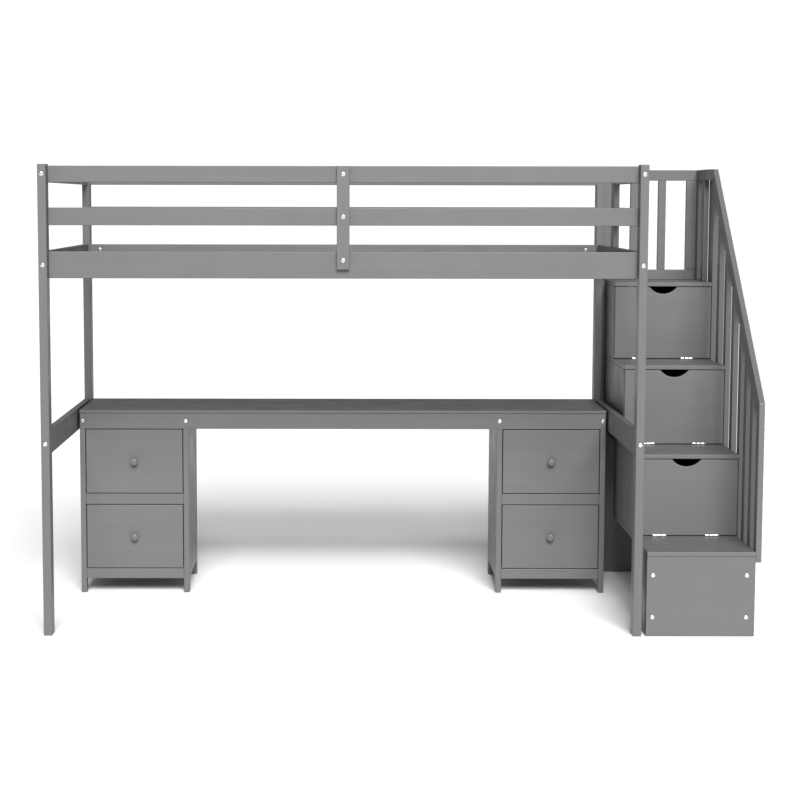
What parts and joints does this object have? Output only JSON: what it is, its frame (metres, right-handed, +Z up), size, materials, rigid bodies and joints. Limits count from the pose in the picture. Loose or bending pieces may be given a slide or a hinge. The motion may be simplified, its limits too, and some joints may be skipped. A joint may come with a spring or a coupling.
{
  "type": "loft bed with desk",
  "caption": "Wooden loft bed over a long desk with drawer cabinets, reached by a storage staircase with fold-down doors and a slatted handrail guard.",
  "frame": {"origin": "centre of the overall box on the floor", "axes": "+X along the bed towards the staircase, -Y the open front, +Z up"},
  "size_m": [2.3792, 1.111, 1.557],
  "materials": {
    "painted_wood": "satin grey paint over pine and fibreboard",
    "bright_steel": "zinc-plated, bright"
  },
  "bodies": {
    "frame": {"post_front_left": "painted_wood", "post_rear_left": "painted_wood", "post_front_right": "painted_wood", "post_rear_right": "painted_wood", "rail_front_top": "painted_wood", "rail_front_middle": "painted_wood", "rail_front_bed": "painted_wood", "rail_rear_top": "painted_wood", "rail_rear_middle": "painted_wood", "rail_rear_bed": "painted_wood", "rail_supports": "painted_wood", "end_rails_left": "painted_wood", "end_rails_right": "painted_wood", "entry_rails": "painted_wood", "entry_post": "painted_wood", "slat_cleats": "painted_wood", "mattress_slats": "painted_wood", "desk_top": "painted_wood", "desk_apron": "painted_wood", "cabinet_left_outer_side": "painted_wood", "cabinet_left_inner_side": "painted_wood", "cabinet_left_back": "painted_wood", "cabinet_left_rails": "painted_wood", "cabinet_right_outer_side": "painted_wood", "cabinet_right_inner_side": "painted_wood", "cabinet_right_back": "painted_wood", "cabinet_right_rails": "painted_wood", "drawer_runners": "painted_wood", "tread_1": "painted_wood", "tread_2": "painted_wood", "tread_3": "painted_wood", "tread_4": "painted_wood", "step_1_front": "painted_wood", "stair_sides_left": "painted_wood", "stair_sides_right": "painted_wood", "stair_backs": "painted_wood", "hinge_leaves_fixed": "bright_steel", "door_catches": "bright_steel", "handrail": "painted_wood", "guard_slats": "painted_wood", "landing_guard": "painted_wood", "bolts": "bright_steel"},
    "drawer_1": {"drawer_1_front": "painted_wood", "drawer_1_box": "painted_wood", "drawer_1_knob": "painted_wood"},
    "drawer_2": {"drawer_2_front": "painted_wood", "drawer_2_box": "painted_wood", "drawer_2_knob": "painted_wood"},
    "drawer_3": {"drawer_3_front": "painted_wood", "drawer_3_box": "painted_wood", "drawer_3_knob": "painted_wood"},
    "drawer_4": {"drawer_4_front": "painted_wood", "drawer_4_box": "painted_wood", "drawer_4_knob": "painted_wood"},
    "door_2": {"door_2": "painted_wood", "door_2_leaves": "bright_steel"},
    "door_3": {"door_3": "painted_wood", "door_3_leaves": "bright_steel"},
    "door_4": {"door_4": "painted_wood", "door_4_leaves": "bright_steel"}
  },
  "joints": [
    {"name": "drawer_1_slide", "type": "slide", "parent": "frame", "child": "drawer_1", "axis": [0, -1, 0], "range_m": [0, 0.25]},
    {"name": "drawer_2_slide", "type": "slide", "parent": "frame", "child": "drawer_2", "axis": [0, -1, 0], "range_m": [0, 0.25]},
    {"name": "drawer_3_slide", "type": "slide", "parent": "frame", "child": "drawer_3", "axis": [0, -1, 0], "range_m": [0, 0.25]},
    {"name": "drawer_4_slide", "type": "slide", "parent": "frame", "child": "drawer_4", "axis": [0, -1, 0], "range_m": [0, 0.25]},
    {"name": "door_2_hinge", "type": "hinge", "parent": "frame", "child": "door_2", "pos_m": [0.99, -0.2583, 0.2888], "axis": [1, 0, 0], "range_deg": [0, 90]},
    {"name": "door_3_hinge", "type": "hinge", "parent": "frame", "child": "door_3", "pos_m": [0.99, 0.0097, 0.5738], "axis": [1, 0, 0], "range_deg": [0, 90]},
    {"name": "door_4_hinge", "type": "hinge", "parent": "frame", "child": "door_4", "pos_m": [0.99, 0.2777, 0.8588], "axis": [1, 0, 0], "range_deg": [0, 90]}
  ]
}
